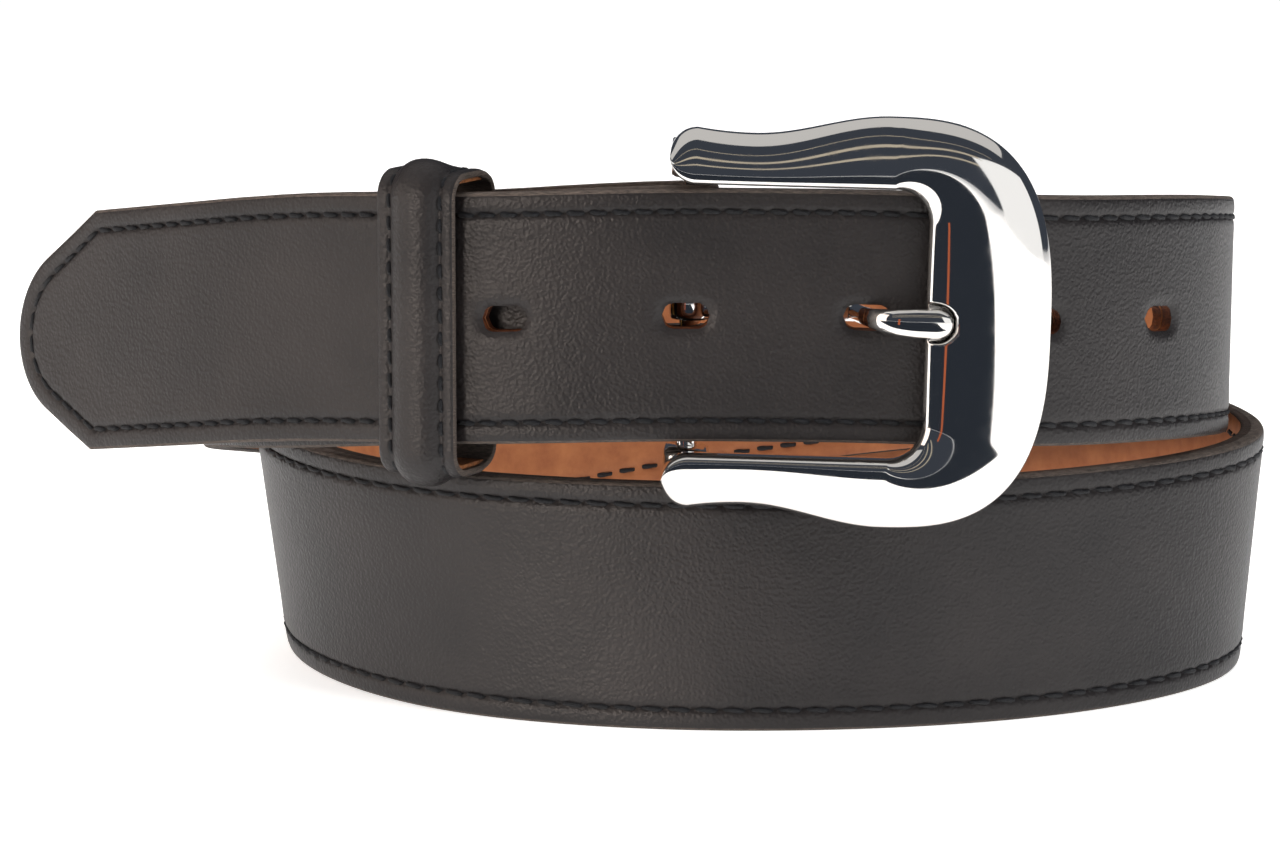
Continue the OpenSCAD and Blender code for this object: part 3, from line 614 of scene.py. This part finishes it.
def buckle_pairs():
    """Inner and outer points of the upper half of the frame, [x, z] from the bar's middle:
    the arm's round end, the arm, and the bow, a superellipse."""
    arm_r = (float(outer_top(ARM_START)) - WINDOW_H / 2) / 2
    a = np.radians(np.linspace(2, 88, 18))
    x = ARM_START - arm_r * np.cos(a)
    middle = WINDOW_H / 2 + arm_r
    end = [np.stack([x, middle - arm_r * np.sin(a)], 1),
           np.stack([x, middle + arm_r * np.sin(a)], 1)]
    knee = WINDOW_L - WINDOW_R
    t = np.linspace(0, 1, 46)[:-1]
    xi, xo = ARM_START + (knee - ARM_START) * t, ARM_START + (CREST_X - ARM_START) * t
    arm = [np.stack([xi, 0 * xi + WINDOW_H / 2], 1), np.stack([xo, outer_top(xo)], 1)]
    t = np.concatenate([np.linspace(0, 0.86, 60), np.linspace(0.86, 1, 46)[1:]])
    b = np.radians(np.minimum(1, t * 1.5) * 90)
    drop = np.maximum(0, t * 1.5 - 1) * 2
    inner = np.stack([knee + WINDOW_R * np.sin(b),
                      np.where(t < 2 / 3, WINDOW_H / 2 - WINDOW_R * (1 - np.cos(b)),
                               (WINDOW_H / 2 - WINDOW_R) * (1 - drop))], 1)
    a = np.radians(90 * t)
    outer = np.stack([CREST_X + (BOW_X - CREST_X) * np.sin(a) ** (2 / BOW_POWER),
                      BOW_HALF * np.maximum(np.cos(a), 0) ** (2 / BOW_POWER)], 1)
    return [np.concatenate(p) for p in zip(end, arm, [inner, outer])]


def buckle_frame():
    """Horseshoe frame: sections between inner and outer points, domed by a half sine over a
    square rim, sunk where the prong's tip lies. On the arms the crown lies nearer the
    window, so their faces slope outward. Lugs behind the arms hold the bar."""
    inner, outer = buckle_pairs()
    inner = np.concatenate([inner, inner[-2::-1] * [1, -1]])
    outer = np.concatenate([outer, outer[-2::-1] * [1, -1]])
    theta = np.linspace(0, math.pi, 71)
    share = np.clip((outer[:, :1] - CREST_X) / (BOW_X - CREST_X), 0, 1)
    dome_u = ((1 - np.cos(theta)) / 2)[None, :] ** (1 / (LOP_ARM + (1 - LOP_ARM) * share))
    rise = np.sin(theta)
    back_u = np.array([1, 0.985, 0.9, 0.5, 0.1, 0.015, 0])
    back_y = np.array([-0.35, -0.08, 0, 0, 0, -0.08, -0.35])
    u = np.concatenate([dome_u, np.broadcast_to(back_u, (len(inner), 7))], 1)[..., None]
    y = np.concatenate([-(RIM_T + (FRAME_T - RIM_T) * rise), back_y])
    flat = inner[:, None, :] * (1 - u) + outer[:, None, :] * u
    x, z = flat[..., 0], flat[..., 1]
    y = np.broadcast_to(y, x.shape) + FRAME_BACK
    # seat: everything within the prong's outline and a margin lies at the seat's depth
    tip = PRONG_LEN - BLADE_W / 2
    reach = np.hypot(np.maximum(x - tip, 0), z - PRONG_UP) - BLADE_W / 2
    sunk = 1 - smooth01((reach - 0.25) / 0.5)
    seat_y = BLADE_Y + PRONG_T / 2 + 0.05
    y = np.where(y < seat_y, y + (seat_y - y) * sunk, y)
    points = hang(x, y, z)
    skin = Skin()
    skin.grid(points, wrap_columns=True)
    for end in (points[0], points[-1]):
        skin.cap(end)
    for side in (1, -1):
        level = np.array([19.1, 19.3, 19.6, 23.2, 23.7]) * side
        grow = np.array([-0.5, -0.15, 0, 0, -0.2])
        a = np.linspace(0, 2 * math.pi, 32, endpoint=False)
        long = 3.1
        ring_x = (3.2 + grow[:, None]) * np.cos(a)
        ring_y = (3.2 + grow[:, None]) * np.sin(a) + long * np.sign(np.sin(a))
        lug = hang(ring_x, BAR_Y + ring_y - long, level[:, None])
        skin.grid(lug, wrap_columns=True)
        skin.cap(lug[0])
        skin.cap(lug[-1])
    return skin.piece("buckle_horseshoe", [NICKEL], "buckle", "polished_metal",
                      ["buckle_frame"], smooth_angle=70)


def prong():
    """Prong: a smooth line from the bar, behind the strap, out through the hole and along the
    seat, carrying a superellipse section; an eye ring goes round the bar."""
    line = np.array([[1.6, 4.9], [8, 4.8], [15, 4.7], [20.3, 4.7], [22.8, 4.1], [24.2, 0.3],
                     [25.5, -2.6], [27.2, -4.6], [29.5, -5.6], [32, BLADE_Y],
                     [34, BLADE_Y], [PRONG_LEN, BLADE_Y]])
    knots = np.concatenate([[0], np.cumsum(np.linalg.norm(np.diff(line, axis=0), axis=1))])
    t = np.concatenate([np.linspace(0, knots[-1] - 2.2, 90),
                        knots[-1] - 2.2 * (1 - np.sin(np.linspace(0, math.pi / 2, 16)[1:]))])
    path = np.stack([sum(np.interp(t + k, knots, line[:, i]) for k in (-1.2, -0.6, 0, 0.6, 1.2))
                     / 5 for i in (0, 1)], 1)
    past = np.maximum(t - (knots[-1] - 1.2), 0)
    path[:, 0] += past * 0.5
    go = np.gradient(path, axis=0)
    go /= np.linalg.norm(go, axis=1)[:, None]
    side = np.stack([-go[:, 1], go[:, 0]], 1)
    near = knots[-1] - t
    end = np.sqrt(np.clip(1 - (1 - np.minimum(near, 2.1) / 2.1) ** 2, 0, 1))
    wide = np.interp(path[:, 0], [0, 21, 23.5, 24.6, 26.5, 28.5, 31.2, 40],
                     [1.35, 1.35, 1.2, 1.25, 1.6, 1.9, 2.08, 2.15]) * np.maximum(end, 0.02)
    thick = PRONG_T / 2 * np.maximum(end, 0.02) ** 0.6
    a = np.linspace(0, 2 * math.pi, 28, endpoint=False)
    ca, sa = np.cos(a), np.sin(a)
    power = 2 / 2.4
    across = np.sign(ca) * np.abs(ca) ** power
    over = np.sign(sa) * np.abs(sa) ** power
    xy = path[:, None, :] + side[:, None, :] * (thick[:, None] * over)[..., None]
    points = hang(xy[..., 0], xy[..., 1], wide[:, None] * across + PRONG_UP)
    skin = Skin()
    skin.grid(points, wrap_columns=True)
    skin.cap(points[0])
    skin.cap(points[-1])
    # eye: a band of rounded section round the bar
    ring = np.linspace(0, 2 * math.pi, 40, endpoint=False)[:, None]
    section = np.linspace(0, 2 * math.pi, 16, endpoint=False)[None, :]
    cs, ss = np.cos(section), np.sin(section)
    radius = 1.56 + 0.68 + 0.68 * np.sign(cs) * np.abs(cs) ** 0.6
    eye = hang(radius * np.cos(ring), BAR_Y + radius * np.sin(ring),
               1.9 * np.sign(ss) * np.abs(ss) ** 0.6 + PRONG_UP)
    skin.grid(eye, wrap_rows=True, wrap_columns=True)
    return skin.piece("buckle_prong", [NICKEL], "prong", "polished_metal", ["prong"],
                      smooth_angle=70)


buckle_frame()
prong()

# ---------------------------------------------------------------- keeper
KEEPER_S = BAR_S - 35.3
KEEPER_T, SUEDE_T, PAD_T = 1.1, 0.6, 1.4
KEEPER_FRONT = STACK + HALF_T + 1.45
KEEPER_REAR = -HALF_T - 1.05
KEEPER_HALF = STRAP_W / 2 + 2.2
KEEPER_LIFT = 0.2
CORNER = 2.2
COLUMN_X = 4.0


def keeper_frame():
    middle, up, out = strap_frame(KEEPER_S)
    return middle, np.cross(up, out), up, out


def keeper_loop(count_side=26, count_arc=16, count_front=70):
    """Closed loop round the strap: points [n, w] of a rectangle with round corners, its
    outward normals, and how far each is on the front (1) or the back (0)."""
    n0, n1 = KEEPER_REAR, KEEPER_FRONT
    h = KEEPER_HALF
    points, normals = [], []
    corners = [(n1 - CORNER, h - CORNER, 90), (n0 + CORNER, h - CORNER, 180),
               (n0 + CORNER, -h + CORNER, 270), (n1 - CORNER, -h + CORNER, 360)]
    starts = [(n1, -h + CORNER, n1, h - CORNER, 0, count_front),
              (n1 - CORNER, h, n0 + CORNER, h, 90, 6),
              (n0, h - CORNER, n0, -h + CORNER, 180, count_side),
              (n0 + CORNER, -h, n1 - CORNER, -h, 270, 6)]
    for (a0, b0, a1, b1, angle, count), (cn, cw, turn) in zip(starts, corners):
        t = np.linspace(0, 1, count, endpoint=False)[:, None]
        points.append(np.array([a0, b0]) * (1 - t) + np.array([a1, b1]) * t)
        a = math.radians(angle)
        normals.append(np.tile([math.cos(a), math.sin(a)], (count, 1)))
        a = np.radians(np.linspace(turn - 90, turn, count_arc, endpoint=False))
        ray = np.stack([np.cos(a), np.sin(a)], 1)
        points.append(np.array([cn, cw]) + CORNER * ray)
        normals.append(ray)
    points, normals = np.concatenate(points), np.concatenate(normals)
    front = smooth01((points[:, 0] - KEEPER_REAR - 1.0) / 3.0)
    return points, normals, front


def keeper_leather():
    """The keeper's leather: the loop's outline set out by the leather's thickness and by the
    padding's crown, a circle's segment that fades on the way to the back."""
    middle, along, up, out = keeper_frame()
    loop, normal, front = keeper_loop()
    crown_at = smooth01((loop[:, 0] - KEEPER_REAR - 2.6) / 6.4)
    # [x across the keeper, height over the leather's own face, share of the crown]
    half = [[0, 0, 1], [.8, 0, .975], [1.5, 0, .9], [2.1, 0, .77], [2.6, 0, .6], [3.0, 0, .42],
            [3.35, 0, .22], [3.6, -.04, .08], [3.8, -.16, 0], [4.0, -.2, 0], [4.2, -.15, 0],
            [4.4, -.04, 0], [4.8, .02, 0], [5.3, .02, 0], [5.65, -.04, 0], [5.88, -.22, 0],
            [6.0, -.5, 0]]
    half = np.array(half)
    face = np.concatenate([half[:0:-1] * [-1, 1, 1], half])
    outer_base = np.where(front > 0, SUEDE_T * front + KEEPER_T, KEEPER_T)
    outer = (outer_base[:, None] + face[None, :, 1]
             + (PAD_T + 0.25) * crown_at[:, None] * face[None, :, 2])
    inner_x = np.array([6.0, 5.9, 4.5, 3.1, 2.4, 1.6, 0.8, 0, -0.8, -1.6, -2.4, -3.1, -4.5,
                        -5.9, -6.0])
    pad = np.clip(1 - (inner_x / 3.1) ** 2, 0, 1)
    inner = (SUEDE_T * front[:, None] * 1.02
             + (PAD_T + 0.05) * pad[None, :] * smooth01((crown_at[:, None] - 0.7) / 0.3)
             + np.where(np.abs(inner_x) > 5.95, 0.12, 0)[None, :])
    x = np.concatenate([face[:, 0], inner_x])
    rise = np.concatenate([outer, inner], 1)
    n = loop[:, None, 0] + normal[:, None, 0] * rise
    w = loop[:, None, 1] + normal[:, None, 1] * rise + KEEPER_LIFT
    points = (middle + along * x[None, :, None] + up * w[..., None] + out * n[..., None])
    skin = Skin()
    finish = np.zeros(len(x), int)
    finish[len(face) - 2:len(face) + 1] = 1
    finish[-1] = 1
    finish[0] = 1
    finish[len(face) + 1:-2] = 1
    skin.grid(points, finish[None, :], wrap_rows=True, wrap_columns=True)
    piece = skin.piece("keeper_padded_leather", [GRAIN, CUT_EDGE], "keeper", "strap_leather",
                       ["keeper_outer"])
    # suede inside, round the front and the ends
    inside = np.flatnonzero(front > 0.35)
    split = int(np.argmax(np.diff(inside) > 1)) + 1 if np.any(np.diff(inside) > 1) else 0
    order = np.concatenate([inside[split:], inside[:split]])
    depth = np.array([0.02, 0.02, 0.02, 0.3, 0.56, 0.56, 0.56, 0.3])
    xs = np.array([-5.3, 0, 5.3, 5.38, 5.3, 0, -5.3, -5.38])
    rise = depth[None, :] * front[order, None]
    n = loop[order][:, None, 0] + normal[order][:, None, 0] * rise
    w = loop[order][:, None, 1] + normal[order][:, None, 1] * rise + KEEPER_LIFT
    suede = (middle + along * xs[None, :, None] + up * w[..., None] + out * n[..., None])
    skin = Skin()
    skin.grid(suede, wrap_columns=True)
    skin.cap(suede[0])
    skin.cap(suede[-1])
    skin.piece("keeper_suede", [SUEDE], "keeper", "suede", ["keeper_lining"])


def keeper_stitches():
    """Two columns of stitches that run round the front and over both ends."""
    middle, along, up, out = keeper_frame()
    loop, normal, front = keeper_loop(26, 60, 260)
    shown = np.flatnonzero(loop[:, 0] > KEEPER_REAR + 3.0)
    split = np.argmax(np.diff(shown) > 1) + 1 if np.any(np.diff(shown) > 1) else 0
    order = np.concatenate([shown[split:], shown[:split]])
    rise = SUEDE_T * front[order] + KEEPER_T - 0.2
    line = loop[order] + normal[order] * rise[:, None]
    run = np.concatenate([[0], np.cumsum(np.linalg.norm(np.diff(line, axis=0), axis=1))])
    count = int(run[-1] / 3.0)
    at = np.linspace(0, run[-1], count + 1)

    def place(t, x):
        q = [np.interp(t, run, line[:, k]) for k in (0, 1)]
        m = [np.interp(t, run, normal[order][:, k]) for k in (0, 1)]
        point = (middle + along * np.asarray(x)[..., None] + out * q[0][:, None]
                 + up * (q[1] + KEEPER_LIFT)[:, None])
        return point, out * m[0][:, None] + up * m[1][:, None]

    skin = Skin()
    for side in (-1, 1):
        step = at[1] - at[0]
        a, _ = place(at[:-1] + 0.1 * step, side * COLUMN_X + 0.1 + 0 * at[:-1])
        b, _ = place(at[1:] - 0.1 * step, side * COLUMN_X - 0.1 + 0 * at[:-1])
        _, face = place((at[:-1] + at[1:]) / 2, 0 * at[:-1])
        add_stitches(skin, stitches((a, b), face, 0.34, 0.18))
    skin.piece("keeper_stitches", [THREAD], "keeper", "thread", ["keeper_stitching"],
               weld=0.0001)


keeper_leather()
keeper_stitches()

# ---------------------------------------------------------------- small metal parts
for node, finish in {"buckle_bar": NICKEL, "snap_caps": NICKEL, "snap_posts": BLACKED,
                     "snap_studs": BRASS, "snap_sockets": BRASS, "keeper_staples": STEEL,
                     "keeper_padding": FELT}.items():
    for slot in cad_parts[node].material_slots:
        slot.material = finish

# ---------------------------------------------------------------- studio
LOOK_AT = np.array([BAR_MID[0], BAR_MID[1] - BAR_Y, 35.0]) * MM
DISTANCE, ELEVATION = 0.829, math.radians(9.38)
FOCAL_PX, WIDTH_PX = 5980.0, 1280.0
camera_data = bpy.data.cameras.new("studio_camera")
camera = bpy.data.objects.new("studio_camera", camera_data)
bpy.context.scene.collection.objects.link(camera)
camera.location = LOOK_AT + DISTANCE * np.array([0, -math.cos(ELEVATION), math.sin(ELEVATION)])
camera.rotation_euler = (math.pi / 2 - ELEVATION, 0, 0)
camera_data.sensor_width = 36.0
camera_data.lens = 36.0 * FOCAL_PX / WIDTH_PX
camera_data.shift_x = -50 / WIDTH_PX
camera_data.shift_y = 61.5 / WIDTH_PX
camera_data.clip_end = 20.0
bpy.context.scene.camera = camera

floor_mesh = bpy.data.meshes.new("floor")
floor_mesh.from_pydata([(-4, -4, 0), (4, -4, 0), (4, 4, 0), (-4, 4, 0)], [], [(0, 1, 2, 3)])
floor_finish, *_ = surface("white_paper_sweep", "#eceae8", Roughness=0.9,
                           Emission_Color=(1, 1, 1, 1), Emission_Strength=0.62)
floor_mesh.materials.append(floor_finish)
floor = bpy.data.objects.new("floor", floor_mesh)
bpy.context.scene.collection.objects.link(floor)


def lamp(name, place, target, size, power, colour="#ffffff"):
    """A rectangular soft box at place, facing the target."""
    data = bpy.data.lights.new(name, "AREA")
    data.shape = "RECTANGLE"
    data.size, data.size_y = size
    data.energy = power
    data.color = linear(colour)[:3]
    light = bpy.data.objects.new(name, data)
    bpy.context.scene.collection.objects.link(light)
    light.location = place
    direction = np.array(target) - np.array(place)
    pitch = math.atan2(direction[2], math.hypot(direction[0], direction[1]))
    light.rotation_euler = (math.pi / 2 + pitch, 0,
                            math.atan2(direction[1], direction[0]) - math.pi / 2)
    return light


for light in (
        lamp("soft_box_right", (1.0, -0.75, 0.55), (0, 0, 0.04), (0.7, 1.1), 15),
        lamp("soft_box_left", (-1.1, -0.55, 0.5), (0, 0, 0.04), (0.5, 1.0), 13, "#fff4ea"),
        lamp("soft_box_over", (0.0, 0.1, 1.3), (0, 0, 0.04), (1.4, 1.0), 18)):
    light.visible_glossy = False

# Warm sheen on the leather beside the keeper; the metal does not mirror this lamp
sheen = lamp("soft_strip_left", (-0.49, -0.70, 0.13), (0, -0.07, 0.06), (0.2, 0.3), 3.8, "#fff0e4")
leather = bpy.data.collections.new("sheen_on_leather")
for name in ("strap_grain_leather", "keeper_padded_leather"):
    leather.objects.link(bpy.data.objects[name])
sheen.light_linking.receiver_collection = leather


def card(name, azimuth, elevation, size, colour, strength, reach=1.2, roll=0.0):
    """A panel that only shows in reflections: its middle lies at azimuth (0 in front, 90 to
    the right) and elevation from the buckle, facing it; size is its width and height."""
    a, e = math.radians(azimuth), math.radians(elevation)
    facing = np.array([math.sin(a) * math.cos(e), -math.cos(a) * math.cos(e), math.sin(e)])
    middle = BAR_MID * MM + reach * facing
    wide, high = size[0] / 2, size[1] / 2
    mesh = bpy.data.meshes.new(name)
    mesh.from_pydata([(-wide, -high, 0), (wide, -high, 0), (wide, high, 0), (-wide, high, 0)],
                     [], [(0, 1, 2, 3)])
    finish, *_ = surface(name, "#000000", Roughness=1.0, Emission_Color=linear(colour),
                         Emission_Strength=strength)
    finish.node_tree.nodes["Principled BSDF"].inputs["Specular IOR Level"].default_value = 0.0
    mesh.materials.append(finish)
    panel = bpy.data.objects.new(name, mesh)
    bpy.context.scene.collection.objects.link(panel)
    panel.location = middle
    panel.rotation_euler = (math.pi / 2 + e, math.radians(roll), a)
    for seen in ("visible_camera", "visible_diffuse", "visible_shadow",
                 "visible_transmission", "visible_volume_scatter"):
        setattr(panel, seen, False)
    return panel


# White soft box at the right, warm one at the left, white ceiling, thin cream slats between
# ceiling and horizon, a brown upright at the left
card("card_right", 46, 0, (1.1, 1.2), "#ffffff", 1.1)
card("card_left", -86, 5, (0.9, 1.3), "#fff0e4", 1.9)
card("card_over", 0, 100, (2.4, 1.9), "#f2f0ee", 0.72)
for height, tall in ((20, 0.05), (29, 0.09), (39, 0.06)):
    card("card_slat", -10, height, (2.0, tall), "#d9cdb8", 0.8)
card("card_brown", -28, -3, (0.018, 0.1), "#b4603f", 1.1, reach=0.3, roll=4)
dark_floor = card("card_dark_floor", 0, 0, (2.4, 2.0), "#2c3139", 1.0)
dark_floor.location = (-1.105, -1.165, 0.003)
dark_floor.rotation_euler = (0, 0, 0)
world = bpy.data.worlds.new("studio")
bpy.context.scene.world = world
world.use_nodes = True
tree = world.node_tree
ray = add(tree, "ShaderNodeLightPath")
sky = tree.nodes["Background"]
sky.inputs["Color"].default_value = linear("#3d424b")
pale = add(tree, "ShaderNodeBackground", {"Color": (1, 1, 1, 1), "Strength": 1.0})
mixed = add(tree, "ShaderNodeMixShader", links={0: ray.outputs["Is Camera Ray"],
                                               1: sky.outputs["Background"],
                                               2: pale.outputs["Background"]})
tree.links.new(mixed.outputs["Shader"], tree.nodes["World Output"].inputs["Surface"])
bpy.context.scene.view_settings.view_transform = "Standard"
